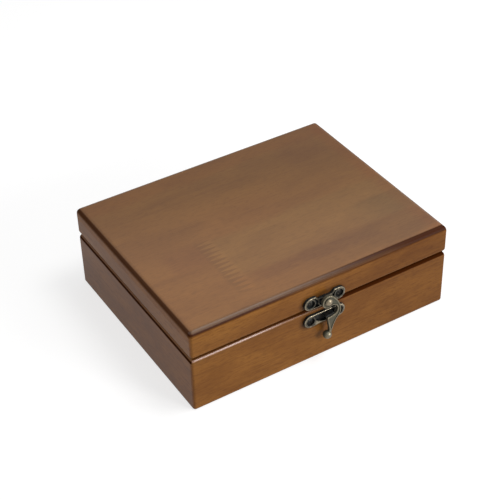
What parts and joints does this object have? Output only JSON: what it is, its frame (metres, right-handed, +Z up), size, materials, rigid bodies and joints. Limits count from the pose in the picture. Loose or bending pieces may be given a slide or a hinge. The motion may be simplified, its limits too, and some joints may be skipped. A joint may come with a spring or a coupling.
{
  "type": "keepsake box",
  "caption": "Rectangular wooden box whose flat hinged lid closes flush on a deeper base, held by a cast swing hook on the front.",
  "frame": {"origin": "centre of the flat underside, measured on the wood without the latch and the hinges", "axes": "+X to the right along the front, +Y from the front with the latch to the hinged back, +Z up"},
  "size_m": [0.2, 0.1699, 0.0646],
  "materials": {
    "stained_wood": "brown stain under satin varnish",
    "bare_plywood": "bare plywood",
    "antique_bronze": "dark patina, worn bright on raised edges"
  },
  "bodies": {
    "base": {"base_front_wall": "stained_wood", "base_right_wall": "stained_wood", "base_back_wall": "stained_wood", "base_left_wall": "stained_wood", "base_bottom_board": "bare_plywood", "left_hinge_base_leaf": "antique_bronze", "right_hinge_base_leaf": "antique_bronze", "left_hinge_pin": "antique_bronze", "right_hinge_pin": "antique_bronze", "hinge_base_screws": "antique_bronze", "latch_catch_plate": "antique_bronze", "latch_catch_plate_screws": "antique_bronze"},
    "lid": {"lid_front_rail": "stained_wood", "lid_right_rail": "stained_wood", "lid_back_rail": "stained_wood", "lid_left_rail": "stained_wood", "lid_top_board": "stained_wood", "left_hinge_lid_leaf": "antique_bronze", "right_hinge_lid_leaf": "antique_bronze", "hinge_lid_screws": "antique_bronze", "latch_hook_plate": "antique_bronze", "latch_hook_plate_screws": "antique_bronze", "latch_rivet": "antique_bronze"},
    "hook": {"latch_hook": "antique_bronze"}
  },
  "joints": [
    {"name": "lid_hinge", "type": "hinge", "parent": "base", "child": "lid", "pos_m": [0, 0.081, 0.0429], "axis": [-1, 0, 0], "range_deg": [0, 180]},
    {"name": "hook_swing", "type": "hinge", "parent": "lid", "child": "hook", "pos_m": [-0.0008, -0.0841, 0.0489], "axis": [0, -1, 0], "range_deg": [0, 180]}
  ]
}
